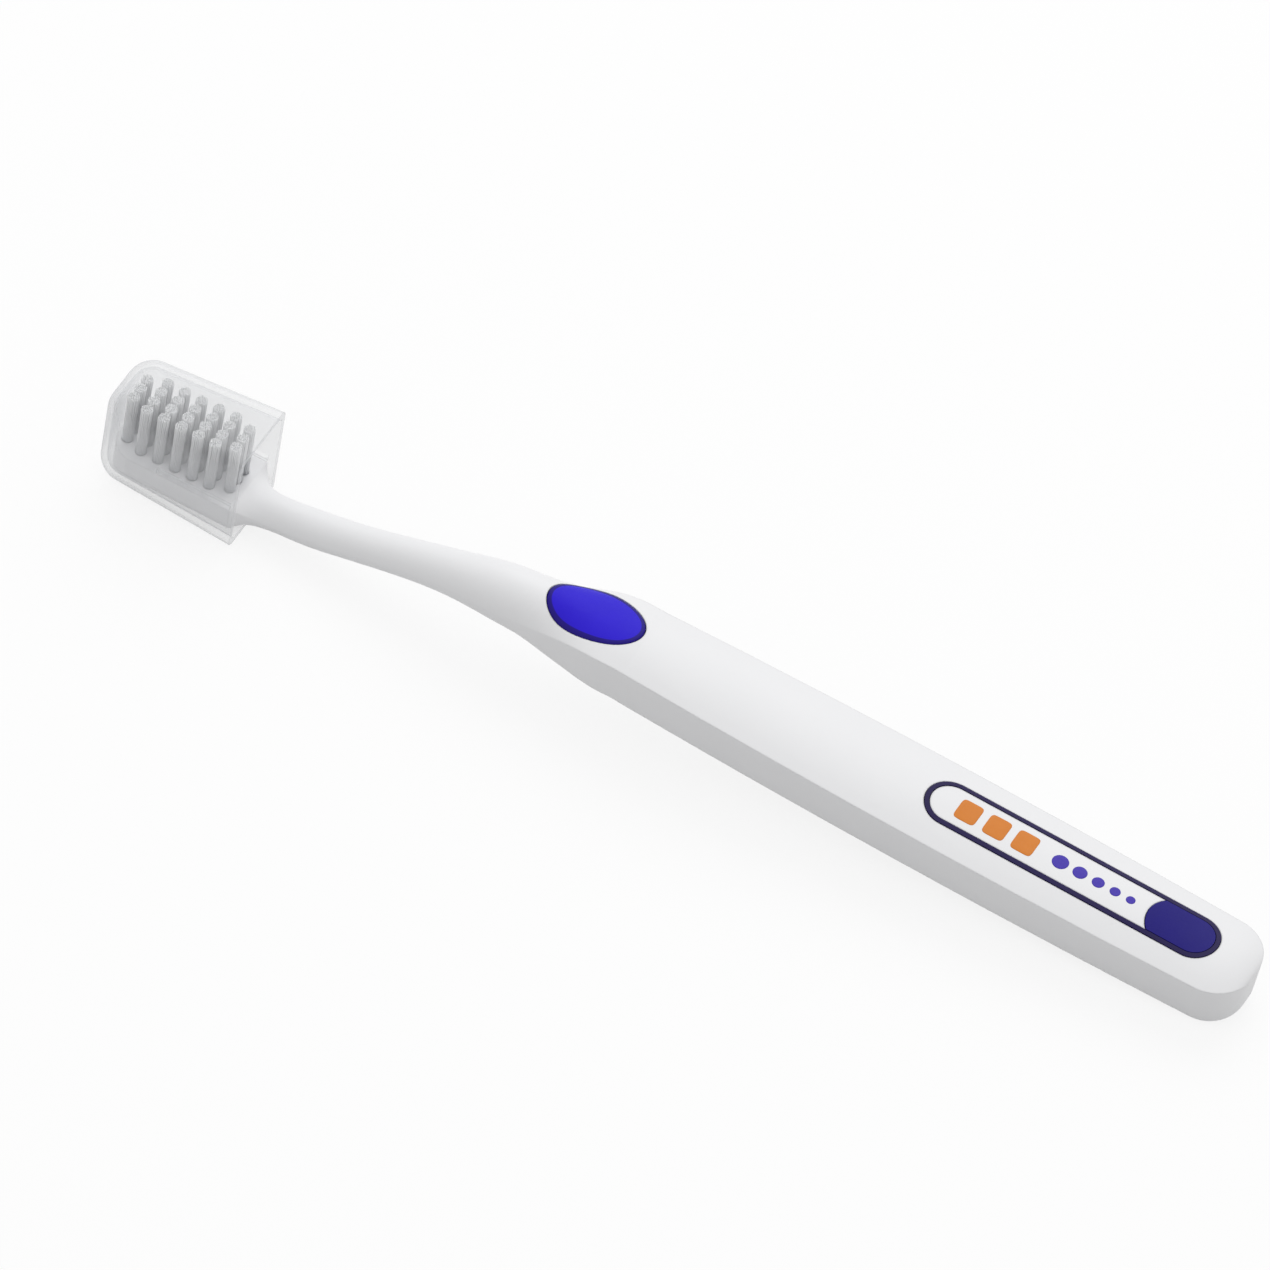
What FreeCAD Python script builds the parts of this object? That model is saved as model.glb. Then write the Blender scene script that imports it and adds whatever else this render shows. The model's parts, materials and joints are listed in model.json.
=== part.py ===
import FreeCAD, Part
import math
import os
from collections import namedtuple

# Manual toothbrush with a slip-on protective cap, in millimetres.
# X runs from the head (minus) to the tail (plus) and the bristles point up along Z.
# The grip is laid out level, with the thumb pad's centre at X = 0 and its crowned front at Z = 0.
# It then leans about the root of the bristle plate, so that the brush lies on its back, on the cap's
# flat back and on the tail. At the end the middle of the underside of its box moves to the origin.

V = FreeCAD.Vector

# Grip, with its length from the thumb pad's centre, its belly set back from the tail's end and the depth
# of the small flat on which the tail rests
handle_length = 98.0
handle_width = 12.4
handle_belly_width = 14.2
handle_belly_setback = 26.0
handle_tail_width = 13.4
handle_crown = 1.3
handle_side_taper = 1.45
handle_depth = 9.4
handle_back_round = 1.6
tail_plan_round = 5.5
tail_front_round = 1.6
tail_side_round = 3.0
tail_rest = 0.12

# Shoulder and neck, set back from the thumb pad's centre
shoulder_reach = 4.5
neck_setback = 11.5
neck_start_diameter = 8.1
neck_waist_reach = 23.0
neck_waist_diameter = 5.0
neck_length = 35.3
neck_end_width = 5.6
neck_end_depth = 4.4
neck_bend_setback = 2.0
neck_bend_ease = 0.55
neck_bend_lag = 1.15
head_drop = 9.6

# Bristle plate
head_flare = 3.2
head_length = 18.7
head_width = 10.2
head_tip_width = 9.6
head_thickness = 5.0
head_crown = 0.15
head_edge_round = 2.4
head_front_round = 0.5
head_tip_plan_round = 4.0

# Tufts and their anchors
tuft_diameter = 1.4
tuft_row_gap = 1.15
tuft_column_gap = 0.45
tuft_height = 8.5
tuft_depth = 2.7
tuft_tip_margin = 0.9
tuft_root_margin = 0.6
tuft_side_margin = 0.6
tuft_hole_clearance = 0.05
anchor_thickness = 0.25
anchor_height = 1.2
anchor_bite = 0.12
anchor_fold = 0.35
anchor_clearance = 0.03

# Thumb pad, label outline and end spot, with the label set back from the tail's end
thumb_length = 13.8
thumb_width = 8.6
thumb_depth = 2.2
label_setback = 5.7
label_length = 43.0
label_width = 7.2
label_line = 0.62
label_depth = 1.3
spot_length = 9.5
spot_bulge = 1.2
insert_gap = 0.1
insert_rise = 0.1

# Protective cap
cap_wall = 0.8
cap_side_clearance = 0.25
cap_floor_clearance = 0.25
cap_tip_corner_clearance = 0.2
cap_top_clearance = 0.9
cap_tip_clearance = 0.6
cap_mouth_reach = 1.0
cap_mouth_corner = 1.4
cap_tip_corner = 4.0
cap_tip_round = 3.8
cap_rail_width = 0.6
cap_rail_height = 0.8
cap_rail_clearance = 0.2
cap_rail_setback = 1.0
cap_rail_length = 11.0

# Allowances: the flat left on a nearly round section, the length over which a section holds steady
# where two stretches meet, how far an end's rounding stands off the faces it runs into, and how far
# a tool reaches past what it cuts
section_flat = 0.3
steady_length = 3.0
end_relief = 0.15
overshoot = 5.0

# Counts: sections along the tail's rounding, and steps in which the lean settles
tail_steps = 6
lean_steps = 8

# Stations along X
neck_start_x = -neck_setback
neck_waist_x = neck_start_x - neck_waist_reach
neck_end_x = neck_start_x - neck_length
head_x = neck_end_x - head_flare
head_tip_x = head_x - head_length
cap_mouth_x = head_x + cap_mouth_reach
label_end_x = handle_length - label_setback
label_start_x = label_end_x - label_length

# Heights of the bristle plate and the tufts
root = V(head_x, 0, -handle_depth / 2 - head_drop)
head_front_z = root.z + head_thickness / 2
head_back_z = head_front_z - head_thickness
ground_z = head_back_z - cap_floor_clearance - cap_wall
tuft_top_z = head_front_z + tuft_height
tuft_foot_z = head_front_z - tuft_depth

Section = namedtuple("Section", "half_width crown half_back depth back_round")


def grip_section(width):
    """The grip's section: crowned front, sides that draw in towards a flat back."""
    half = width / 2
    return Section(half, handle_crown, half - handle_side_taper, handle_depth, handle_back_round)


def plate_section(width):
    """The bristle plate's section: almost flat front, upright sides and well rounded back edges."""
    return Section(width / 2, head_crown, width / 2, head_thickness, head_edge_round)


def round_section(width, depth):
    """A section rounded all the way, nearly a circle where width and depth are the same."""
    return Section(width / 2, depth / 2, width / 2, depth, min(width, depth) / 2 - section_flat)


def blended(first, second, share):
    """The section that lies the given share of the way from first to second, eased at both ends."""
    weight = share * share * (3 - 2 * share)
    return Section(*[a + (b - a) * weight for a, b in zip(first, second)])


def neck_section(x):
    """Section of the neck at x, slimmest at its waist."""
    end_x, end_width, end_depth = neck_end_x, neck_end_width, neck_end_depth
    if x > neck_waist_x:
        end_x, end_width, end_depth = neck_start_x, neck_start_diameter, neck_start_diameter
    share = (x - neck_waist_x) / (end_x - neck_waist_x)
    width = neck_waist_diameter + (end_width - neck_waist_diameter) * share * share
    depth = neck_waist_diameter + (end_depth - neck_waist_diameter) * share * share
    return round_section(width, depth)


def middle_z(x):
    """Height of the middle of the section at x: level grip, then a neck that slopes to the plate."""
    share = (-neck_bend_setback - x) / (-neck_bend_setback - head_x)
    share = min(max(share, 0.0), 1.0) ** neck_bend_lag
    turn = 2 * math.pi
    return -handle_depth / 2 - head_drop * (share - neck_bend_ease * math.sin(turn * share) / turn)


def corner_arc(before, corner, after, radius):
    """Start, crest and end of the arc that rounds the corner between its two neighbours."""
    back = (before - corner).normalize()
    ahead = (after - corner).normalize()
    half_angle = back.getAngle(ahead) / 2
    reach = radius / math.tan(half_angle)
    crest = corner + (back + ahead).normalize() * (radius / math.sin(half_angle) - radius)
    return corner + back * reach, crest, corner + ahead * reach


def outline(*stops):
    """Closed wire through the stops; a stop of three points is an arc through them."""
    arcs = [stop if isinstance(stop, tuple) else (stop,) for stop in stops]
    edges = []
    for previous, arc in zip(arcs[-1:] + arcs, arcs):
        edges.append(Part.LineSegment(previous[-1], arc[0]).toShape())
        if len(arc) == 3:
            edges.append(Part.Arc(*arc).toShape())
    return Part.Wire(edges)


def prism(wire, direction):
    """Solid swept by the face inside the wire along the direction."""
    return Part.Face(wire).extrude(direction)


def section_wire(x, section, rise=0.0):
    """Outline across the brush at x: crowned front, two sides, two rounded edges and a flat back."""
    front_z = middle_z(x) + rise + section.depth / 2
    back_z = front_z - section.depth
    left = V(x, -section.half_width, front_z - section.crown)
    right = V(x, section.half_width, front_z - section.crown)
    left_foot = V(x, -section.half_back, back_z)
    right_foot = V(x, section.half_back, back_z)
    return outline(
        (left, V(x, 0, front_z), right),
        corner_arc(right, right_foot, left_foot, section.back_round),
        corner_arc(right_foot, left_foot, left, section.back_round),
    )


def flattened(form):
    """The lofted form with each of its flat faces set on a true plane."""
    faces = []
    for face in form.Faces:
        plane = face.findPlane()
        faces.append(Part.Face(plane, face.OuterWire) if plane else face)
    return Part.Solid(Part.Shell(faces))


def leaned(shape):
    """The shape leant about the plate's root until the tail's rounded back rests on the ground."""
    along = handle_length - tail_plan_round - root.x
    rise = tail_side_round - handle_depth - root.z
    standoff = root.z - ground_z + tail_rest
    lean = 0.0
    for step in range(lean_steps):
        reach = math.hypot(tail_plan_round * math.sin(lean), tail_side_round * math.cos(lean))
        lean = math.asin((standoff - reach) / math.hypot(along, rise)) + math.atan2(rise, along)
    return shape.rotated(root, V(0, 1, 0), math.degrees(lean))


def rounded_end(end_x, inner_x, half_width, plan_round, low_z, low_round, high_z, high_round):
    """Tool that keeps what lies behind an end rounded in plan and along its low and high edges."""
    wide = half_width + overshoot
    floor = low_z - overshoot
    ceiling = high_z + overshoot
    end_left = V(end_x, -half_width, floor)
    end_right = V(end_x, half_width, floor)
    left = corner_arc(V(inner_x, -half_width, floor), end_left, end_right, plan_round)
    right = corner_arc(end_left, end_right, V(inner_x, half_width, floor), plan_round)
    plan = outline(
        left,
        right,
        V(right[2].x, wide, floor),
        V(inner_x, wide, floor),
        V(inner_x, -wide, floor),
        V(left[0].x, -wide, floor),
    )
    end_low = V(end_x, -wide, low_z)
    end_high = V(end_x, -wide, high_z)
    low = corner_arc(V(inner_x, -wide, low_z), end_low, end_high, low_round)
    high = corner_arc(end_low, end_high, V(inner_x, -wide, high_z), high_round)
    side = outline(
        low,
        high,
        V(high[2].x, -wide, ceiling),
        V(inner_x, -wide, ceiling),
        V(inner_x, -wide, floor),
        V(low[0].x, -wide, floor),
    )
    return prism(plan, V(0, 0, ceiling - floor)).common(prism(side, V(0, 2 * wide, 0)))


def make_grip():
    """Level grip with a slight belly, up to the start of the tail's rounding."""
    wires = [
        section_wire(shoulder_reach + steady_length, grip_section(handle_width)),
        section_wire(handle_length - handle_belly_setback, grip_section(handle_belly_width)),
        section_wire(handle_length - tail_plan_round, grip_section(handle_tail_width)),
    ]
    return flattened(Part.makeLoft(wires, True, False))


def tail_wire(turn):
    """Outline across the tail where its rounding has turned by the angle from the grip's sides."""
    grip = grip_section(handle_tail_width)
    closing = 1 - math.cos(turn)
    half = grip.half_width - tail_plan_round * closing
    share = half / grip.half_width
    arch = (grip.half_width ** 2 + grip.crown ** 2) / (2 * grip.crown)
    section = Section(
        half,
        arch - math.sqrt(arch ** 2 - half ** 2),
        half - handle_side_taper * share,
        handle_depth - (tail_front_round + tail_side_round) * closing,
        handle_back_round * share,
    )
    x = handle_length - tail_plan_round * (1 - math.sin(turn))
    return section_wire(x, section, (tail_side_round - tail_front_round) / 2 * closing)


def make_tail():
    """Tail that rounds off in plan, and along its front and back, to a small flat end."""
    wires = [tail_wire(math.pi / 2 * step / tail_steps) for step in range(tail_steps + 1)]
    return Part.makeLoft(wires, True, False)


def make_ground():
    """What lies under the flat on which the tail rests."""
    corner = V(0, -handle_belly_width, ground_z - overshoot)
    return Part.makeBox(2 * handle_length, 2 * handle_belly_width, overshoot, corner)


def make_neck():
    """Shoulder, neck and flare, from the leaning grip's section to the level plate's."""
    grip = grip_section(handle_width)
    neck_start = neck_section(neck_start_x)
    shoulder_length = shoulder_reach - neck_start_x
    wires = [section_wire(shoulder_reach + steady_length, grip), section_wire(shoulder_reach, grip)]
    for share in (0.2, 0.4, 0.6, 0.8):
        x = shoulder_reach - share * shoulder_length
        wires.append(section_wire(x, blended(grip, neck_start, share)))
    for start_x, end_x, steps in ((neck_start_x, neck_waist_x, 3), (neck_waist_x, neck_end_x, 2)):
        for step in range(steps):
            x = start_x + (end_x - start_x) * step / steps
            wires.append(section_wire(x, neck_section(x)))
    wires.append(section_wire(neck_end_x, neck_section(neck_end_x)))
    wires = [leaned(wire) for wire in wires]
    wires.append(section_wire(head_x, plate_section(head_width)))
    return Part.makeLoft(wires, True, False)


def make_plate():
    """Flat bristle plate, narrower at its rounded tip."""
    wires = [
        section_wire(head_x, plate_section(head_width)),
        section_wire(head_tip_x, plate_section(head_tip_width)),
    ]
    tip = rounded_end(
        head_tip_x, head_x + overshoot, head_tip_width / 2 + end_relief, head_tip_plan_round,
        head_back_z - end_relief, head_edge_round, head_front_z + end_relief, head_front_round,
    )
    cap_room = cap_form(-cap_tip_corner_clearance, head_x + overshoot)
    return Part.makeLoft(wires, True, True).common(tip).common(cap_room)


def tuft_places():
    """Centres of the tufts: full rows, with one tuft fewer in the rows at the two ends."""
    row_pitch = tuft_diameter + tuft_row_gap
    column_pitch = tuft_diameter + tuft_column_gap
    first_x = head_tip_x + tuft_tip_margin + tuft_diameter / 2
    last_x = head_x - tuft_root_margin - tuft_diameter / 2
    rows = 1 + int((last_x - first_x) / row_pitch)
    columns = 1 + int((head_tip_width - 2 * tuft_side_margin - tuft_diameter) / column_pitch)
    places = []
    for row in range(rows):
        count = columns if 0 < row < rows - 1 else columns - 1
        for column in range(count):
            y = (column - (count - 1) / 2) * column_pitch
            places.append(V(first_x + row * row_pitch, y, 0))
    return places


def anchor_block(clearance):
    """Anchor plate standing along X at the origin, grown by the clearance on its faces."""
    length = tuft_diameter + 2 * (tuft_hole_clearance + anchor_bite + clearance)
    thickness = anchor_thickness + 2 * clearance
    height = anchor_height + 2 * clearance
    corner = V(-length / 2, -thickness / 2, tuft_foot_z + anchor_fold - clearance)
    return Part.makeBox(length, thickness, height, corner)


def make_tuft():
    """Bundle of filaments at the origin, folded round the place of its anchor."""
    bundle = Part.makeCylinder(tuft_diameter / 2, tuft_top_z - tuft_foot_z, V(0, 0, tuft_foot_z))
    return bundle.cut(anchor_block(anchor_clearance))


def make_tuft_hole():
    """Blind hole for one tuft at the origin."""
    radius = tuft_diameter / 2 + tuft_hole_clearance
    return Part.makeCylinder(radius, tuft_depth + overshoot, V(0, 0, tuft_foot_z))


def at_places(shape, places):
    """One moved copy of the shape at each place."""
    return [shape.translated(place) for place in places]


def ellipse_prism(length, width, floor_z):
    """Upright oval column about the Z axis, from floor_z to above the front."""
    edge = Part.Ellipse(V(0, 0, floor_z), length / 2, width / 2).toShape()
    return prism(Part.Wire([edge]), V(0, 0, overshoot - floor_z))


def stadium_prism(margin, floor_z):
    """Upright column with the label's outline, set in by the margin, from floor_z to above the front."""
    half = label_width / 2 - margin
    start_x = label_start_x + label_width / 2
    end_x = label_end_x - label_width / 2
    left = (V(start_x, half, floor_z), V(start_x - half, 0, floor_z), V(start_x, -half, floor_z))
    right = (V(end_x, -half, floor_z), V(end_x + half, 0, floor_z), V(end_x, half, floor_z))
    return prism(outline(left, right), V(0, 0, overshoot - floor_z))


def spot_prism(growth, floor_z):
    """Upright column of the end spot, which fills the far end of the label's outline."""
    inset = label_line + insert_gap - growth
    half = label_width / 2 - inset
    start_x = label_end_x - label_line - insert_gap - spot_length - growth
    end_x = label_end_x - label_width / 2
    left = (
        V(start_x + spot_bulge, half, floor_z),
        V(start_x, 0, floor_z),
        V(start_x + spot_bulge, -half, floor_z),
    )
    right = (V(end_x, -half, floor_z), V(end_x + half, 0, floor_z), V(end_x, half, floor_z))
    return prism(outline(left, right), V(0, 0, overshoot - floor_z))


def cap_section(x, plate_width, corner_round, margin):
    """Rounded rectangle across the cap at x, set out from the cap's inside by the margin."""
    half = plate_width / 2 + cap_side_clearance + margin
    low_z = head_back_z - cap_floor_clearance - margin
    high_z = tuft_top_z + cap_top_clearance + margin
    radius = corner_round - cap_wall + margin
    corners = [V(x, -half, low_z), V(x, half, low_z), V(x, half, high_z), V(x, -half, high_z)]
    neighbours = zip(corners[-1:] + corners, corners, corners[1:] + corners[:1])
    return outline(*[corner_arc(before, corner, after, radius) for before, corner, after in neighbours])


def cap_form(margin, mouth_x):
    """Closed form of the cap, set out from its inside by the margin, with a rounded tip."""
    tip_x = head_tip_x - cap_tip_clearance - margin
    wires = [
        cap_section(mouth_x, head_width, cap_mouth_corner, margin),
        cap_section(tip_x, head_tip_width, cap_tip_corner, margin),
    ]
    form = flattened(Part.makeLoft(wires, True, True))
    rim = [edge for edge in form.Edges if edge.BoundBox.XMax < tip_x + section_flat]
    return form.makeFillet(cap_tip_round - cap_wall + margin, rim)


def make_cap():
    """Thin cap, open at the neck, with two inner rails that hold the bristle plate to its floor."""
    shell = cap_form(cap_wall, cap_mouth_x).cut(cap_form(0, cap_mouth_x + overshoot))
    rail_start_x = cap_mouth_x - cap_rail_setback - cap_rail_length
    inner = head_width / 2 + cap_side_clearance
    rails = []
    for side in (-1, 1):
        low_y = min(side * (inner - cap_rail_width), side * (inner + cap_wall / 2))
        corner = V(rail_start_x, low_y, head_front_z + cap_rail_clearance)
        rails.append(Part.makeBox(cap_rail_length, cap_rail_width + cap_wall / 2, cap_rail_height, corner))
    return shell.fuse(rails).removeSplitter()


def make_brush():
    """All the pieces by node name, lying on the brush's back."""
    places = tuft_places()
    anchors = at_places(anchor_block(0), places)
    grip = leaned(make_grip().fuse(make_tail()))
    blank = grip.fuse([make_neck(), make_plate()]).removeSplitter().cut(make_ground())
    raised = blank.translated(V(0, 0, insert_rise))
    thumb = ellipse_prism(thumb_length, thumb_width, -thumb_depth)
    ring = stadium_prism(0, -label_depth).cut(stadium_prism(label_line, -label_depth))
    spot = spot_prism(0, -label_depth)
    pockets = [
        ellipse_prism(thumb_length + 2 * insert_gap, thumb_width + 2 * insert_gap, -thumb_depth),
        stadium_prism(-insert_gap, -label_depth).cut(stadium_prism(label_line + insert_gap, -label_depth)),
        spot_prism(insert_gap, -label_depth),
    ]
    cuts = [leaned(pocket) for pocket in pockets] + at_places(make_tuft_hole(), places) + anchors
    pieces = {
        "handle": blank.cut(cuts),
        "thumb_insert": raised.common(leaned(thumb)),
        "label_ring": raised.common(leaned(ring)),
        "end_insert": raised.common(leaned(spot)),
        "tuft_anchors": Part.makeCompound(anchors),
        "protective_cap": make_cap(),
    }
    for number, tuft in enumerate(at_places(make_tuft(), places), start=1):
        pieces["tuft_%02d" % number] = tuft
    return pieces


def main():
    """Builds the brush, centres it over the origin and writes one file to a piece."""
    os.makedirs("parts", exist_ok=True)
    pieces = make_brush()
    box = Part.makeCompound(list(pieces.values())).optimalBoundingBox()
    shift = V(-box.Center.x, -box.Center.y, -box.ZMin)
    for name, shape in pieces.items():
        shape.translated(shift).exportStep("parts/%s.step" % name)


main()
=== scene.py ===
"""Dresses a slim white toothbrush, its bristles and its frosted slip-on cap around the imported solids."""

import json
import logging
import math
import random
from dataclasses import dataclass, replace
from enum import Enum
from typing import Any, Sequence

import bpy
from mathutils import Color, Matrix, Vector
from mathutils.bvhtree import BVHTree


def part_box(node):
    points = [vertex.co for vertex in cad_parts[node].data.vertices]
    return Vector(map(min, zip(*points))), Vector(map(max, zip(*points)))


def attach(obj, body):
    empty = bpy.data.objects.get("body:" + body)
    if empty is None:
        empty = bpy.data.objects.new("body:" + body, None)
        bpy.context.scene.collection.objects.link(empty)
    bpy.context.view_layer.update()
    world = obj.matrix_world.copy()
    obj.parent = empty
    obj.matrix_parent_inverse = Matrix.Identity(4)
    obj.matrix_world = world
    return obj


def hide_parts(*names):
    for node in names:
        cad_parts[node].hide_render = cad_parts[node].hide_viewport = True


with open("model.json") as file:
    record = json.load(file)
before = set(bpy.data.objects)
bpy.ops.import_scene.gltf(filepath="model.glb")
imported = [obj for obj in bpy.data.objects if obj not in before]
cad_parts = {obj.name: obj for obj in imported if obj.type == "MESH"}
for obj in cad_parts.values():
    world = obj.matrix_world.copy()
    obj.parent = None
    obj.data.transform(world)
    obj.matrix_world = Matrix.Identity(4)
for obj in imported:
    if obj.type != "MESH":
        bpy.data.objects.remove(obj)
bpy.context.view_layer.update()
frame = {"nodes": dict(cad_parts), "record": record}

log = logging.getLogger("toothbrush")

Colour = tuple[float, float, float]
Point2 = tuple[float, float]
Face = tuple[int, ...]

MM = 0.001
FULL_TURN = 2 * math.pi
WHITE_LIGHT = (1.0, 1.0, 1.0, 1.0)

# Body that every piece made here rides on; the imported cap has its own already
BRUSH = "brush"

# Name of the mesh layer that carries, from point to point for the material, painted shade and, on the
# filaments, a small random tone
TONE_AND_SHADE_LAYER = "tone"

# Places of the colour sockets on a Mix node
MIX_SHARE = 0
MIX_FIRST = 6
MIX_SECOND = 7
MIX_RESULT = 2


class Slot(Enum):
    """The record's material slots."""

    WHITE = "white_plastic"
    BLUE = "blue_elastomer"
    NAVY = "navy_elastomer"
    NYLON = "nylon_filament"
    ANCHOR = "anchor_metal"
    FROSTED = "frosted_plastic"


class SocketKind(Enum):
    """What a socket of a node group carries."""

    NUMBER = "NodeSocketFloat"
    COLOUR = "NodeSocketColor"


def linear(colour: Colour) -> tuple[float, float, float, float]:
    """Turns a display colour into the linear one that a shader socket takes.

    Args:
        colour: Red, green and blue from 0 to 1, as a screen shows them.

    Returns:
        The linear colour with full alpha.
    """
    return *Color(colour).from_srgb_to_scene_linear(), 1.0


class Canvas:
    """Adds and links the nodes of one tree."""

    def __init__(self, tree: bpy.types.NodeTree) -> None:
        """Takes the tree and empties it."""
        self.tree = tree
        tree.nodes.clear()

    def node(self, kind: str, values: dict[Any, Any] | None = None, **settings: Any) -> bpy.types.Node:
        """Adds one node.

        Args:
            kind: The node's type name.
            values: Constant values, or sockets to link from, by input name or number.
            **settings: Other properties of the node.

        Returns:
            The new node.
        """
        made = self.tree.nodes.new(kind)
        for key, value in settings.items():
            setattr(made, key, value)
        for key, value in (values or {}).items():
            if isinstance(value, bpy.types.NodeSocket):
                self.tree.links.new(value, made.inputs[key])
            else:
                made.inputs[key].default_value = value
        return made

    def group(self, tree: bpy.types.NodeTree, values: dict[str, Any]) -> bpy.types.bpy_prop_collection:
        """Places a shared node group with values of its own.

        Args:
            tree: The group.
            values: The value of each of its inputs.

        Returns:
            Its outputs.
        """
        return self.node("ShaderNodeGroup", values, node_tree=tree).outputs

    def calculate(self, operation: str, *values: Any, clamped: bool = False) -> bpy.types.NodeSocket:
        """Works something out from numbers.

        Args:
            operation: The Math node's operation.
            *values: Its numbers, or sockets that give them.
            clamped: Whether the result is kept between 0 and 1.

        Returns:
            The result.
        """
        made = self.node("ShaderNodeMath", dict(enumerate(values)), operation=operation, use_clamp=clamped)
        return made.outputs[0]

    def noise(self, scale: bpy.types.NodeSocket, detail: float) -> bpy.types.NodeSocket:
        """Adds a noise that is fixed to the object.

        Args:
            scale: Its scale.
            detail: How many finer layers it has.

        Returns:
            The noise, from 0 to 1.
        """
        place = self.node("ShaderNodeTexCoord").outputs["Object"]
        return self.node("ShaderNodeTexNoise", {"Vector": place, "Scale": scale, "Detail": detail}).outputs[0]

    def mix(self, share: bpy.types.NodeSocket, first: Any, second: Any) -> bpy.types.NodeSocket:
        """Mixes two colours.

        Args:
            share: How much of the second colour shows.
            first: A colour, or a socket that gives it.
            second: The other colour.

        Returns:
            The mixed colour.
        """
        values = {MIX_SHARE: share, MIX_FIRST: first, MIX_SECOND: second}
        return self.node("ShaderNodeMix", values, data_type="RGBA").outputs[MIX_RESULT]

    def link(self, source: bpy.types.NodeSocket, target: bpy.types.NodeSocket) -> None:
        """Links one socket to another."""
        self.tree.links.new(source, target)


class GroupMaker:
    """Builds the shader node groups that several finishes share, each of them once."""

    grain_detail: float = 2.0
    wave_detail: float = 1.0
    cloud_detail: float = 3.0
    smoothest_noise: float = 0.12
    roughest_noise: float = 0.4

    @staticmethod
    def _open(name: str, inputs: dict[str, SocketKind], outputs: dict[str, SocketKind]) -> Canvas | None:
        """Starts a group unless it exists.

        Args:
            name: The group's name.
            inputs: What each of its inputs carries.
            outputs: What each of its outputs carries.

        Returns:
            A canvas on the new group, or None where the group is there already.
        """
        if name in bpy.data.node_groups:
            return None
        tree = bpy.data.node_groups.new(name, "ShaderNodeTree")
        for side, sockets in (("INPUT", inputs), ("OUTPUT", outputs)):
            for label, kind in sockets.items():
                tree.interface.new_socket(label, in_out=side, socket_type=kind.value)
        return Canvas(tree)

    @classmethod
    def moulded_grain(cls) -> bpy.types.NodeTree:
        """Fine grain and slow waviness of a moulded skin.

        Returns:
            A group that puts out a height for a bump and a roughness that wanders between two values.
        """
        name = "moulded_grain"
        canvas = cls._open(
            name,
            {
                "Grain Scale": SocketKind.NUMBER,
                "Grain Height": SocketKind.NUMBER,
                "Wave Scale": SocketKind.NUMBER,
                "Wave Height": SocketKind.NUMBER,
                "Smooth Roughness": SocketKind.NUMBER,
                "Rough Roughness": SocketKind.NUMBER,
            },
            {"Height": SocketKind.NUMBER, "Roughness": SocketKind.NUMBER},
        )
        if canvas:
            given = canvas.node("NodeGroupInput").outputs
            grain = canvas.noise(given["Grain Scale"], cls.grain_detail)
            wave = canvas.noise(given["Wave Scale"], cls.wave_detail)
            fine = canvas.calculate("MULTIPLY", grain, given["Grain Height"])
            height = canvas.calculate("MULTIPLY_ADD", wave, given["Wave Height"], fine)
            rough = canvas.node(
                "ShaderNodeMapRange",
                {
                    "Value": canvas.calculate("MULTIPLY", grain, wave),
                    "From Min": cls.smoothest_noise,
                    "From Max": cls.roughest_noise,
                    "To Min": given["Smooth Roughness"],
                    "To Max": given["Rough Roughness"],
                },
            ).outputs[0]
            canvas.node("NodeGroupOutput", {"Height": height, "Roughness": rough})
        return bpy.data.node_groups[name]

    @classmethod
    def wandering_tone(cls) -> bpy.types.NodeTree:
        """Slight cloudiness of a coloured plastic.

        Returns:
            A group that puts out a colour which drifts from one tone towards another.
        """
        name = "wandering_tone"
        canvas = cls._open(
            name,
            {
                "Color": SocketKind.COLOUR,
                "Other Color": SocketKind.COLOUR,
                "Cloud Scale": SocketKind.NUMBER,
                "Amount": SocketKind.NUMBER,
            },
            {"Color": SocketKind.COLOUR},
        )
        if canvas:
            given = canvas.node("NodeGroupInput").outputs
            cloud = canvas.noise(given["Cloud Scale"], cls.cloud_detail)
            share = canvas.calculate("MULTIPLY", cloud, given["Amount"], clamped=True)
            mixed = canvas.mix(share, given["Color"], given["Other Color"])
            canvas.node("NodeGroupOutput", {"Color": mixed})
        return bpy.data.node_groups[name]


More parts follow.
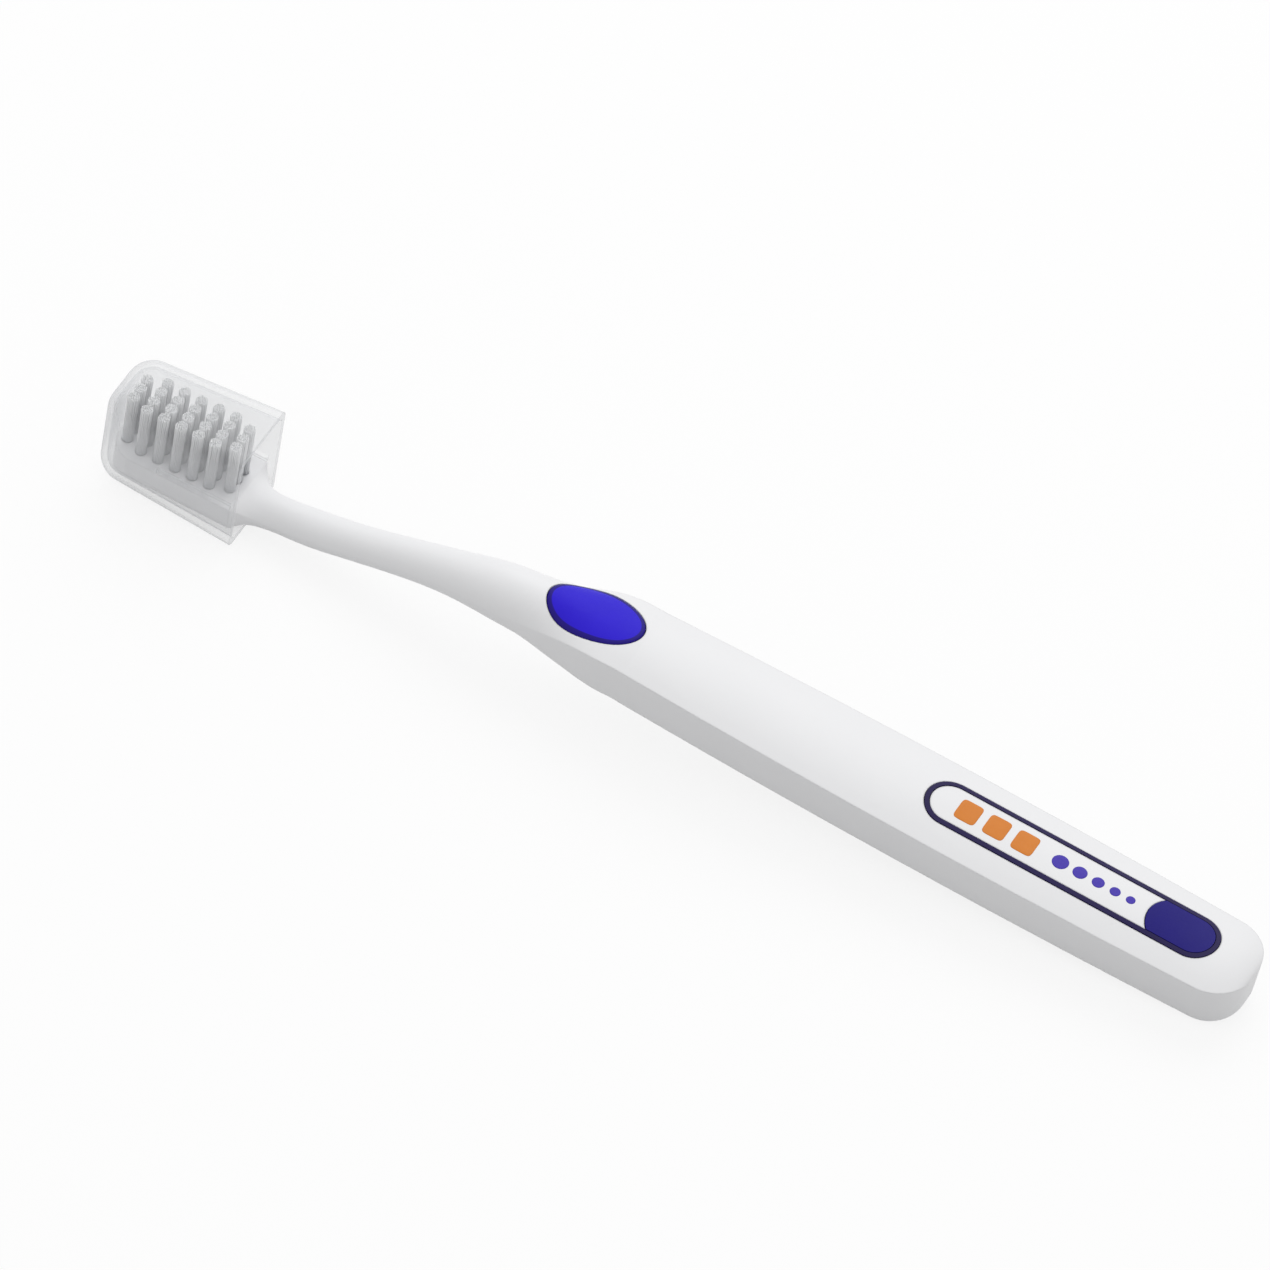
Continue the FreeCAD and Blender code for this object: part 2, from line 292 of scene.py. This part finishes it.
@dataclass(frozen=True)
class Finish:
    """One moulded, drawn or printed finish, with its grain and its cloudiness; lengths in metres."""

    name: str
    slot: Slot
    colour: Colour
    other_colour: Colour
    cloud_scale: float
    smooth_roughness: float
    rough_roughness: float
    cloud_amount: float = 0.6
    grain_scale: float = 3000.0
    grain_height: float = 0.2
    wave_scale: float = 90.0
    wave_height: float = 0.8
    bump_strength: float = 0.25
    bump_distance: float = 0.00004
    metallic: float = 0.0
    ior: float = 1.49
    specular: float = 0.5
    # Darker colour that the tone layer mixes in as painted shade
    painted_shade_colour: Colour | None = None
    haze: float = 1.0
    edge_haze: float = 1.0
    edge_blend: float = 0.5
    edge_power: float = 2.0
    light_share: float = 0.65
    edge_radius: float = 0.0
    edge_samples: int = 6
    scatter: float = 0.0
    scatter_reach: float = 0.0006
    scatter_spread: Colour = (1.0, 1.0, 1.0)

    def material(self) -> bpy.types.Material:
        """Builds the finish as a node material, or finds it where it was built before.

        Returns:
            The material.
        """
        if self.name in bpy.data.materials:
            return bpy.data.materials[self.name]
        made = bpy.data.materials.new(self.name)
        made.use_nodes = True
        canvas = Canvas(made.node_tree)
        grain = canvas.group(
            GroupMaker.moulded_grain(),
            {
                "Grain Scale": self.grain_scale,
                "Grain Height": self.grain_height,
                "Wave Scale": self.wave_scale,
                "Wave Height": self.wave_height,
                "Smooth Roughness": self.smooth_roughness,
                "Rough Roughness": self.rough_roughness,
            },
        )
        shader = canvas.node(
            "ShaderNodeBsdfPrincipled",
            {
                "Base Color": self.base_colour(canvas),
                "Roughness": grain["Roughness"],
                "Normal": self.normal(canvas, grain["Height"]),
                "Metallic": self.metallic,
                "IOR": self.ior,
                "Specular IOR Level": self.specular,
                "Subsurface Weight": self.scatter,
                "Subsurface Radius": self.scatter_spread,
                "Subsurface Scale": self.scatter_reach,
            },
        )
        if self.haze < 1.0:
            canvas.link(self.see_through(canvas), shader.inputs["Alpha"])
        canvas.node("ShaderNodeOutputMaterial", {"Surface": shader.outputs["BSDF"]})
        return made

    def base_colour(self, canvas: Canvas) -> bpy.types.NodeSocket:
        """Cloudy colour, mixed towards a darker one by the mesh's tone layer, which carries painted shade
        and, on the filaments, a small random tone.

        Args:
            canvas: The material's tree.

        Returns:
            The colour.
        """
        colour = canvas.group(
            GroupMaker.wandering_tone(),
            {
                "Color": linear(self.colour),
                "Other Color": linear(self.other_colour),
                "Cloud Scale": self.cloud_scale,
                "Amount": self.cloud_amount,
            },
        )["Color"]
        # Painted shade: the tone layer pulls the colour towards the finish's darker shade colour
        if self.painted_shade_colour:
            tone = canvas.node("ShaderNodeAttribute", attribute_name=TONE_AND_SHADE_LAYER).outputs["Fac"]
            colour = canvas.mix(tone, colour, linear(self.painted_shade_colour))
        return colour

    def normal(self, canvas: Canvas, height: bpy.types.NodeSocket) -> bpy.types.NodeSocket:
        """Normal of the grain, over edges that are softened where the finish has an edge radius.

        Args:
            canvas: The material's tree.
            height: The grain's height.

        Returns:
            The normal.
        """
        bump = canvas.node(
            "ShaderNodeBump",
            {"Strength": self.bump_strength, "Distance": self.bump_distance, "Height": height},
        )
        if self.edge_radius:
            soft = canvas.node("ShaderNodeBevel", {"Radius": self.edge_radius}, samples=self.edge_samples)
            canvas.link(soft.outputs["Normal"], bump.inputs["Normal"])
        return bump.outputs["Normal"]

    def see_through(self, canvas: Canvas) -> bpy.types.NodeSocket:
        """Haze of a thin wall, denser where it is seen edge on, that passes on scattered light.

        Args:
            canvas: The material's tree.

        Returns:
            The wall's opacity.
        """
        facing = canvas.node("ShaderNodeLayerWeight", {"Blend": self.edge_blend}).outputs["Facing"]
        edge = canvas.calculate("POWER", facing, self.edge_power)
        seen = canvas.node(
            "ShaderNodeMapRange", {"Value": edge, "To Min": self.haze, "To Max": self.edge_haze}
        ).outputs[0]
        path = canvas.node("ShaderNodeLightPath").outputs
        lighting = canvas.calculate("MAXIMUM", path["Is Shadow Ray"], path["Is Diffuse Ray"])
        kept = canvas.calculate("MULTIPLY_ADD", lighting, -self.light_share, 1.0)
        return canvas.calculate("MULTIPLY", seen, kept)


WHITE_MOULDING = Finish(
    "white_moulding", Slot.WHITE, (0.95, 0.95, 0.955), (0.932, 0.934, 0.942), cloud_scale=45.0,
    smooth_roughness=0.36, rough_roughness=0.46, specular=0.3, edge_radius=0.00035,
)
# The thumb pad's darker third colour is painted shade, laid on its wall, rounded edge and rim, where shade
# falls at the joint with the handle
BLUE_PAD = Finish(
    "blue_pad", Slot.BLUE, (0.18, 0.09, 0.85), (0.15, 0.07, 0.79), cloud_scale=400.0,
    smooth_roughness=0.45, rough_roughness=0.58, grain_scale=5200.0, grain_height=0.6, wave_height=0.3,
    bump_strength=0.35, specular=0.2, painted_shade_colour=(0.12, 0.05, 0.5),
)
BLUE_SPOT = replace(
    BLUE_PAD, name="blue_spot", colour=(0.09, 0.04, 0.48), other_colour=(0.07, 0.03, 0.42), painted_shade_colour=None,
)
NAVY_LINE = replace(
    BLUE_SPOT, name="navy_line", slot=Slot.NAVY, colour=(0.13, 0.09, 0.3), other_colour=(0.11, 0.07, 0.26),
)
ORANGE_INK = Finish(
    "orange_ink", Slot.WHITE, (0.87, 0.52, 0.17), (0.82, 0.47, 0.14), cloud_scale=900.0,
    smooth_roughness=0.34, rough_roughness=0.46, grain_scale=6000.0, specular=0.25,
)
BLUE_INK = replace(
    ORANGE_INK, name="blue_ink", colour=(0.26, 0.18, 0.7), other_colour=(0.22, 0.15, 0.62),
)
# The nylon's darker third colour is painted shade, laid on the filaments towards their roots where the tufts
# shade each other
NYLON = Finish(
    "nylon", Slot.NYLON, (0.95, 0.953, 0.957), (0.93, 0.935, 0.94), cloud_scale=700.0,
    smooth_roughness=0.3, rough_roughness=0.42, grain_scale=9000.0, bump_strength=0.1,
    painted_shade_colour=(0.78, 0.79, 0.81), ior=1.53, scatter=0.7,
)
ANCHOR_STRIP = Finish(
    "anchor_strip", Slot.ANCHOR, (0.78, 0.72, 0.5), (0.7, 0.62, 0.4), cloud_scale=1500.0,
    smooth_roughness=0.22, rough_roughness=0.42, grain_scale=9000.0, metallic=1.0,
)
FROSTED = Finish(
    "frosted", Slot.FROSTED, (0.93, 0.935, 0.945), (0.9, 0.905, 0.915), cloud_scale=180.0,
    smooth_roughness=0.32, rough_roughness=0.45, grain_scale=4200.0, grain_height=0.5,
    bump_strength=0.3, haze=0.12, edge_haze=0.75, edge_radius=0.0003,
)


class GripFrame:
    """The grip's own frame: X to the tail, Z out of its crowned front, from the middle of the thumb pad."""

    def __init__(self, mount: str, mount_reach: float, depth: float) -> None:
        """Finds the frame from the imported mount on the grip's flat back.

        Args:
            mount: The mount's name.
            mount_reach: Millimetres from the middle of the thumb pad to the mount, along the grip.
            depth: Millimetres from the grip's front to its back.
        """
        back = next(item for item in frame["record"]["mounts"] if item["name"] == mount)
        lean = math.atan2(-back["axis"][0], -back["axis"][2])
        self.turn = Matrix.Rotation(lean, 3, "Y")
        self.origin = Vector(back["pos_m"]) / MM - self.turn @ Vector((mount_reach, 0.0, -depth))

    def point(self, x: float, y: float, z: float) -> Vector:
        """Place in the row frame, in metres, of a point given in millimetres in the grip's frame."""
        return (self.origin + self.turn @ Vector((x, y, z))) * MM

    def way(self, x: float, y: float, z: float) -> Vector:
        """Direction in the row frame of one given in the grip's frame."""
        return self.turn @ Vector((x, y, z))


GRIP = GripFrame("grip_back", mount_reach=50.0, depth=9.4)


class Skin:
    """The front of one solid, which printed marks and pads follow."""

    start_height: float = 20.0

    def __init__(self, node: str) -> None:
        """Takes the faces of the named solid."""
        mesh = frame["nodes"][node].data
        self.tree = BVHTree.FromPolygons(
            [vertex.co for vertex in mesh.vertices], [tuple(face.vertices) for face in mesh.polygons]
        )

    def front(self, x: float, y: float) -> Vector:
        """Finds the front over a place, looking down on it from well above.

        Args:
            x: Millimetres along the grip.
            y: Millimetres across the grip.

        Returns:
            The point on the front, in the row frame.
        """
        hit = self.tree.ray_cast(GRIP.point(x, y, self.start_height), GRIP.way(0.0, 0.0, -1.0))[0]
        if hit is None:
            raise ValueError(f"nothing lies under {x:.2f}, {y:.2f}")
        return hit


@dataclass
class Piece:
    """A mesh in the making, in metres in the row frame."""

    name: str
    points: list[Vector]
    faces: list[Face]
    tones: list[float]

    def place(self, finish: Finish, replaced: Sequence[str] = ()) -> None:
        """Makes the object, dresses it and ties it to the brush.

        Args:
            finish: The finish that it wears.
            replaced: The solids that it stands for.
        """
        mesh = bpy.data.meshes.new(self.name)
        mesh.from_pydata(self.points, [], self.faces)
        mesh.validate()
        mesh.polygons.foreach_set("use_smooth", [True] * len(mesh.polygons))
        # The tone layer holds painted shade (pad rim, filament roots) and the filaments' random tone
        layer = mesh.attributes.new(TONE_AND_SHADE_LAYER, "FLOAT", "POINT")
        layer.data.foreach_set("value", self.tones)
        mesh.materials.append(finish.material())
        made = bpy.data.objects.new(self.name, mesh)
        bpy.context.scene.collection.objects.link(made)
        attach(made, BRUSH)
        if replaced:
            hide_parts(*replaced)
        log.info("%s: %d faces on %s", self.name, len(mesh.polygons), BRUSH)


def dress(node: str, finish: Finish) -> None:
    """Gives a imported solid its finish.

    Args:
        node: The solid's name.
        finish: The finish that it wears.
    """
    slots = frame["nodes"][node].data.materials
    slots.clear()
    slots.append(finish.material())
    log.info("%s: wears %s", node, finish.name)


def ring_faces(low: int, count: int) -> list[Face]:
    """Faces between a ring of points and the next one.

    Args:
        low: Number of the first ring's first point.
        count: How many points each ring has.

    Returns:
        The faces, turned outwards where the rings run anticlockwise and the next one is the upper.
    """
    high = low + count
    pairs = [(here, (here + 1) % count) for here in range(count)]
    return [(low + here, low + after, high + after, high + here) for here, after in pairs]


def fan_faces(start: int, hub: int, count: int) -> list[Face]:
    """Faces between a ring of points and a point in its middle.

    Args:
        start: Number of the ring's first point.
        hub: Number of the middle point.
        count: How many points the ring has.

    Returns:
        The faces, turned upwards where the ring runs anticlockwise.
    """
    return [(start + here, start + (here + 1) % count, hub) for here in range(count)]


@dataclass(frozen=True)
class PatchStep:
    """One ring of a patch: its inset from the outline and its height over the skin, in millimetres, and its
    tone, which is painted shade on the thumb pad.
    """

    inset: float
    height: float
    tone: float = 0.0


@dataclass(frozen=True)
class Block:
    """Outline of an oval, or of a block with rounded corners; sizes in millimetres.

    Its power is 2 for an ellipse, and more for a squarer block.
    """

    half_length: float
    half_width: float
    power: float = 2.0

    def place(self, angle: float) -> Point2:
        """Finds a place on the outline.

        Args:
            angle: The angle about its middle, in radians.

        Returns:
            Millimetres along and across the grip.
        """
        shares = (math.cos(angle), math.sin(angle))
        along, across = (math.copysign(abs(share) ** (2 / self.power), share) for share in shares)
        return along * self.half_length, across * self.half_width


@dataclass(frozen=True)
class Patch:
    """A closed patch that lies on a skin, ring by ring from the foot of its rim to its middle."""

    name: str
    skin: Skin
    centre: Point2
    outline: Block
    steps: Sequence[PatchStep]
    segments: int
    seat_share: float = 0.985

    def point(self, angle: float, step: PatchStep, up: Vector) -> Vector:
        """Finds a point of a ring, seated just inside the outline so that it always has skin under it.

        Args:
            angle: The angle about the centre, in radians.
            step: The ring.
            up: A millimetre out of the skin, in metres in the row frame.

        Returns:
            The point in the row frame.
        """
        x, y = self.outline.place(angle)
        reach = math.hypot(x, y)
        share = max(reach - step.inset, 0.0) / reach
        seat = min(share, self.seat_share)
        hit = self.skin.front(self.centre[0] + x * seat, self.centre[1] + y * seat)
        slide = GRIP.way(x * (share - seat) * MM, y * (share - seat) * MM, 0.0)
        return hit + slide + up * step.height

    def piece(self) -> Piece:
        """Makes the patch's mesh.

        Returns:
            The piece, closed by a middle point on top and by one underneath.
        """
        up = GRIP.way(0.0, 0.0, MM)
        points: list[Vector] = []
        tones: list[float] = []
        for step in self.steps:
            for index in range(self.segments):
                points.append(self.point(FULL_TURN * index / self.segments, step, up))
                tones.append(step.tone)
        faces: list[Face] = []
        for ring in range(len(self.steps) - 1):
            faces.extend(ring_faces(ring * self.segments, self.segments))
        last = (len(self.steps) - 1) * self.segments
        middle = self.skin.front(*self.centre)
        faces.extend(fan_faces(last, len(points), self.segments))
        faces.extend(face[::-1] for face in fan_faces(0, len(points) + 1, self.segments))
        for step in (self.steps[-1], self.steps[0]):
            points.append(middle + up * step.height)
            tones.append(step.tone)
        return Piece(self.name, points, faces, tones)


@dataclass
class Grip:
    """The white moulding with its thumb pad, its label outline and its print; sizes in millimetres."""

    pad_half_length: float = 6.9
    pad_half_width: float = 4.3
    pad_edge: float = 0.3
    pad_edge_turns: tuple[float, ...] = (30.0, 60.0, 90.0)
    # Width of the pad's rim darkened by painted shade, the band over which that shade fades out, and the rise
    # there
    pad_shaded_rim: float = 0.55
    pad_shade_fade: float = 0.12
    pad_shade_fade_rise: float = 0.01
    pad_crown: float = 0.12
    pad_crown_shares: tuple[float, ...] = (0.25, 0.4, 0.55, 0.7, 0.85)
    pad_foot: float = -1.6
    pad_segments: int = 96
    ink_height: float = 0.035
    ink_wall: float = 0.014
    ink_edge: float = 0.1
    ink_foot: float = -0.08
    ink_shares: tuple[float, ...] = (0.35, 0.6, 0.8)
    bar_places: tuple[float, ...] = (55.4, 59.6, 63.8)
    bar_half_length: float = 1.55
    bar_half_width: float = 1.75
    bar_power: float = 6.0
    bar_segments: int = 64
    dot_places: tuple[float, ...] = (69.0, 71.9, 74.6, 77.1, 79.4)
    dot_radii: tuple[float, ...] = (1.15, 1.0, 0.86, 0.74, 0.64)
    dot_segments: int = 40

    def dress_solids(self) -> None:
        """Gives the moulding and the inserts that stay their finishes."""
        dress("handle", WHITE_MOULDING)
        dress("label_ring", NAVY_LINE)
        dress("end_insert", BLUE_SPOT)

    def pad_steps(self) -> list[PatchStep]:
        """Rings of the thumb pad, where a tone of 1 is its rim darkened by painted shade.

        Returns:
            The rings from the foot of its wall, over a rounded edge and its rim of painted shade, to the
            middle.
        """
        steps = [PatchStep(0.0, self.pad_foot, 1.0), PatchStep(0.0, -self.pad_edge, 1.0)]
        for angle in map(math.radians, self.pad_edge_turns):
            inset = self.pad_edge * (1 - math.cos(angle))
            steps.append(PatchStep(inset, self.pad_edge * (math.sin(angle) - 1), 1.0))
        steps.append(PatchStep(self.pad_shaded_rim, 0.0, 1.0))
        steps.append(PatchStep(self.pad_shaded_rim + self.pad_shade_fade, self.pad_shade_fade_rise))
        for share in self.pad_crown_shares:
            rise = self.pad_crown * (1 - (1 - share) ** 2)
            steps.append(PatchStep(share * self.pad_half_width, rise))
        return steps

    def build_pad(self) -> None:
        """Thumb pad with a rounded edge, a rim darkened by painted shade and a low crown."""
        oval = Block(self.pad_half_length, self.pad_half_width)
        skin = Skin("thumb_insert")
        pad = Patch("thumb_pad", skin, (0.0, 0.0), oval, self.pad_steps(), self.pad_segments)
        pad.piece().place(BLUE_PAD, ["thumb_insert"])

    def ink_steps(self, reach: float) -> list[PatchStep]:
        """Rings of a printed mark.

        Args:
            reach: Its shortest half size.

        Returns:
            The rings from its foot, sunk in the skin, to near its middle.
        """
        steps = [PatchStep(0.0, self.ink_foot), PatchStep(0.0, self.ink_wall)]
        steps.append(PatchStep(self.ink_edge, self.ink_height))
        steps.extend(PatchStep(share * reach, self.ink_height) for share in self.ink_shares)
        return steps

    def print_marks(self) -> None:
        """Plain bars and dots where a label has its print."""
        skin = Skin("handle")
        bar = Block(self.bar_half_length, self.bar_half_width, self.bar_power)
        bar_steps = self.ink_steps(self.bar_half_length)
        for number, x in enumerate(self.bar_places, start=1):
            mark = Patch(f"label_bar_{number}", skin, (x, 0.0), bar, bar_steps, self.bar_segments)
            mark.piece().place(ORANGE_INK)
        for number, (x, radius) in enumerate(zip(self.dot_places, self.dot_radii), start=1):
            dot = Block(radius, radius)
            dot_steps = self.ink_steps(radius)
            mark = Patch(f"label_dot_{number}", skin, (x, 0.0), dot, dot_steps, self.dot_segments)
            mark.piece().place(BLUE_INK)

    def build(self) -> None:
        """Makes and dresses everything on the grip."""
        self.dress_solids()
        self.build_pad()
        self.print_marks()


@dataclass
class BristleField:
    """The tufts as bundles of filaments with rounded ends; sizes in millimetres."""

    node_prefix: str = "tuft_"
    filament_radius: float = 0.1
    filament_pitch: float = 0.206
    hole_fill: float = 0.03
    filament_sides: int = 7
    stem_shares: tuple[float, ...] = (0.0, 0.35, 0.7, 1.0)
    dome_turns: tuple[float, ...] = (35.0, 65.0)
    tuft_height: float = 8.5
    root_depth: float = 1.3
    short_by: float = 0.22
    splay: float = 0.1
    sway: float = 0.05
    tone_spread: float = 0.2
    # Painted shade on the filaments: how it grows towards the roots, and how dark it is there
    root_shade_power: float = 1.3
    root_painted_shade: float = 0.85
    seed: int = 11

    def places(self, radius: float) -> list[Point2]:
        """Places of the filaments across one tuft, in closely packed rings that fill its hole.

        Args:
            radius: The tuft's radius.

        Returns:
            Offsets from the tuft's middle.
        """
        room = radius - self.filament_radius + self.hole_fill
        rings = round(room / self.filament_pitch)
        found = [(0.0, 0.0)]
        for ring in range(1, rings + 1):
            reach = room * ring / rings
            count = round(FULL_TURN * reach / self.filament_pitch)
            half_step = (ring % 2) / 2
            for number in range(count):
                angle = FULL_TURN * (number + half_step) / count
                found.append((reach * math.cos(angle), reach * math.sin(angle)))
        return found

    def rings(self, length: float) -> list[Point2]:
        """Rings along one filament, from its foot up its stem and over its rounded end.

        Args:
            length: The filament's length.

        Returns:
            Height and radius of each ring.
        """
        dome = self.filament_radius
        found = [(share * (length - dome), dome) for share in self.stem_shares]
        for angle in map(math.radians, self.dome_turns):
            found.append((length - dome + dome * math.sin(angle), dome * math.cos(angle)))
        return found

    def filament(self, root: Vector, tip: Vector, start: int) -> tuple[list[Vector], list[Face]]:
        """One filament that leaves its hole upright and leans out towards its rounded tip.

        Args:
            root: Middle of its foot, in millimetres.
            tip: Middle of its tip.
            start: Number of its first point in the tuft's mesh.

        Returns:
            Its points, in millimetres, and its faces.
        """
        length = tip.z - root.z
        rings = self.rings(length)
        sides = self.filament_sides
        points: list[Vector] = []
        for height, radius in rings:
            share = height / length
            middle = root.lerp(tip, share)
            bend = (tip - root) * (share * share - share)
            for side in range(sides):
                angle = FULL_TURN * side / sides
                out = Vector((math.cos(angle) * radius, math.sin(angle) * radius, 0.0))
                points.append(Vector((middle.x + bend.x, middle.y + bend.y, root.z + height)) + out)
        points.append(tip.copy())
        faces: list[Face] = [tuple(start + side for side in reversed(range(sides)))]
        for ring in range(len(rings) - 1):
            faces.extend(ring_faces(start + ring * sides, sides))
        last = start + (len(rings) - 1) * sides
        faces.extend(fan_faces(last, start + len(points) - 1, sides))
        return points, faces

    def tip(self, root: Vector, x: float, y: float, radius: float, top: float, draw: random.Random) -> Vector:
        """Middle of a filament's tip, splayed from the tuft's middle and a little out of line.

        Args:
            root: Middle of its foot, in millimetres.
            x: The foot's offset from the tuft's middle along the brush.
            y: The foot's offset across the brush.
            radius: The tuft's radius.
            top: Height of the tuft's top.
            draw: The source of its small irregularities.

        Returns:
            The tip, in millimetres.
        """
        out = self.splay * math.hypot(x, y) / radius
        angle = math.atan2(y, x)
        return Vector((
            root.x + out * math.cos(angle) + draw.uniform(-self.sway, self.sway),
            root.y + out * math.sin(angle) + draw.uniform(-self.sway, self.sway),
            top - draw.uniform(0.0, self.short_by),
        ))

    def build_tuft(self, node: str, draw: random.Random) -> None:
        """Makes one tuft in place of its solid, with filaments darkened by painted shade towards their roots.

        Args:
            node: The tuft's solid.
            draw: The source of its small irregularities.
        """
        low, high = (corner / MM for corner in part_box(node))
        middle = (low + high) / 2
        radius = (high.x - low.x) / 2
        points: list[Vector] = []
        faces: list[Face] = []
        tones: list[float] = []
        for x, y in self.places(radius):
            root = Vector((middle.x + x, middle.y + y, high.z - self.tuft_height - self.root_depth))
            tip = self.tip(root, x, y, radius, high.z, draw)
            more, sides = self.filament(root, tip, len(points))
            # Each filament gets a small random tone, then painted shade that grows towards its root
            own = draw.uniform(0.0, self.tone_spread)
            for point in more:
                share = min((high.z - point.z) / self.tuft_height, 1.0) ** self.root_shade_power
                tones.append(own + (self.root_painted_shade - own) * share)
            points.extend(more)
            faces.extend(sides)
        tuft = Piece(f"{node}_filaments", [point * MM for point in points], faces, tones)
        tuft.place(NYLON, [node])

    def build(self) -> None:
        """Makes all the tufts and dresses their anchors."""
        draw = random.Random(self.seed)
        for node in sorted(frame["nodes"]):
            if node.removeprefix(self.node_prefix).isdigit():
                self.build_tuft(node, draw)
        dress("tuft_anchors", ANCHOR_STRIP)


@dataclass
class Cap:
    """The frosted cap over the head."""

    node: str = "protective_cap"

    def build(self) -> None:
        """Gives the cap's shell its frosted finish."""
        dress(self.node, FROSTED)


@dataclass
class Studio:
    """Pale floor, soft light and camera, in degrees and metres; frame width and aim in millimetres."""

    azimuth: float = 17.0
    elevation: float = 50.0
    roll: float = -15.32
    frame_width: float = 163.87
    aim_right: float = 4.89
    aim_up: float = -3.18
    distance: float = 3.0
    sensor: float = 36.0
    near_clip: float = 0.1
    far_clip: float = 20.0
    floor_radius: float = 4.0
    floor_sides: int = 96
    floor_drop: float = 0.00003
    floor_colour: Colour = (0.78, 0.78, 0.78)
    floor_share: float = 0.7
    floor_glow: float = 1.18
    world_light: float = 0.72
    backdrop_light: float = 1.0
    key_power: float = 3.1
    key_place: tuple[float, float, float] = (-0.15, 0.6, 0.75)
    key_size: float = 0.9
    key_aim: tuple[float, float, float] = (0.0, 0.0, 0.01)

    def seen_directly(self, canvas: Canvas) -> bpy.types.NodeSocket:
        """Light path test for what the camera sees, also in a mirror or through glass.

        Args:
            canvas: The tree that needs it.

        Returns:
            A socket that is 1 for such rays.
        """
        path = canvas.node("ShaderNodeLightPath").outputs
        first = canvas.calculate("MAXIMUM", path["Is Camera Ray"], path["Is Glossy Ray"])
        return canvas.calculate("MAXIMUM", first, path["Is Transmission Ray"])

    def build_world(self) -> None:
        """Even light from all round, with a white backdrop."""
        world = bpy.data.worlds.new("studio")
        world.use_nodes = True
        canvas = Canvas(world.node_tree)
        light, white = (
            canvas.node("ShaderNodeBackground", {"Color": WHITE_LIGHT, "Strength": strength}).outputs[0]
            for strength in (self.world_light, self.backdrop_light)
        )
        mixed = canvas.node("ShaderNodeMixShader", {0: self.seen_directly(canvas), 1: light, 2: white})
        canvas.node("ShaderNodeOutputWorld", {"Surface": mixed.outputs[0]})
        bpy.context.scene.world = world

    def floor_material(self) -> bpy.types.Material:
        """Pale floor that keeps a soft shadow and can be looked through from below.

        Returns:
            The material.
        """
        made = bpy.data.materials.new("studio_floor")
        made.use_nodes = True
        canvas = Canvas(made.node_tree)
        paint = canvas.node("ShaderNodeBsdfDiffuse", {"Color": linear(self.floor_colour)})
        glow = canvas.node("ShaderNodeEmission", {"Color": WHITE_LIGHT, "Strength": self.floor_glow})
        share = canvas.calculate("MULTIPLY", self.seen_directly(canvas), self.floor_share)
        lit = canvas.node("ShaderNodeMixShader", {0: share, 1: paint.outputs[0], 2: glow.outputs[0]})
        clear = canvas.node("ShaderNodeBsdfTransparent")
        below = canvas.node("ShaderNodeNewGeometry").outputs["Backfacing"]
        sided = canvas.node("ShaderNodeMixShader", {0: below, 1: lit.outputs[0], 2: clear.outputs[0]})
        canvas.node("ShaderNodeOutputMaterial", {"Surface": sided.outputs[0]})
        return made

    def build_floor(self) -> None:
        """Round floor under the brush."""
        corners = range(self.floor_sides)
        points = []
        for corner in corners:
            angle = FULL_TURN * corner / self.floor_sides
            points.append((
                self.floor_radius * math.cos(angle), self.floor_radius * math.sin(angle), -self.floor_drop,
            ))
        mesh = bpy.data.meshes.new("studio_floor")
        mesh.from_pydata(points, [], [tuple(corners)])
        mesh.materials.append(self.floor_material())
        floor = bpy.data.objects.new("studio_floor", mesh)
        bpy.context.scene.collection.objects.link(floor)

    def build_key(self) -> None:
        """Wide soft lamp above and behind the brush."""
        lamp = bpy.data.lights.new("key", "AREA")
        lamp.shape = "DISK"
        lamp.size = self.key_size
        lamp.energy = self.key_power
        key = bpy.data.objects.new("key", lamp)
        bpy.context.scene.collection.objects.link(key)
        key.location = self.key_place
        aim = Vector(self.key_aim) - Vector(self.key_place)
        key.rotation_euler = aim.to_track_quat("-Z", "Y").to_euler()
        key.visible_camera = False

    def build_camera(self) -> None:
        """Long lens at the angle of the photograph."""
        azimuth, elevation, roll = map(math.radians, (self.azimuth, self.elevation, self.roll))
        level = Vector((math.cos(azimuth), math.sin(azimuth), 0.0))
        inward = Vector((-math.sin(azimuth), math.cos(azimuth), 0.0))
        rising = inward * math.sin(elevation) + Vector((0.0, 0.0, math.cos(elevation)))
        right = GRIP.turn @ (level * math.cos(roll) - rising * math.sin(roll))
        up = GRIP.turn @ (level * math.sin(roll) + rising * math.cos(roll))
        back = right.cross(up)
        aim = GRIP.point(0.0, 0.0, 0.0) + (right * self.aim_right + up * self.aim_up) * MM
        lens = bpy.data.cameras.new("camera")
        lens.sensor_width = self.sensor
        lens.lens = self.sensor * self.distance / (self.frame_width * MM)
        lens.clip_start = self.near_clip
        lens.clip_end = self.far_clip
        camera = bpy.data.objects.new("camera", lens)
        bpy.context.scene.collection.objects.link(camera)
        turn = Matrix((right, up, back)).transposed().to_4x4()
        camera.matrix_world = Matrix.Translation(aim + back * self.distance) @ turn
        bpy.context.scene.camera = camera

    def build(self) -> None:
        """Sets up the floor, the light and the camera."""
        bpy.context.scene.view_settings.view_transform = "Standard"
        self.build_world()
        self.build_floor()
        self.build_key()
        self.build_camera()


def main() -> None:
    """Builds the sub-assemblies in order."""
    logging.basicConfig(level=logging.INFO, format="%(name)s: %(message)s")
    Studio().build()
    Grip().build()
    BristleField().build()
    Cap().build()


if __name__ == "__main__":
    main()
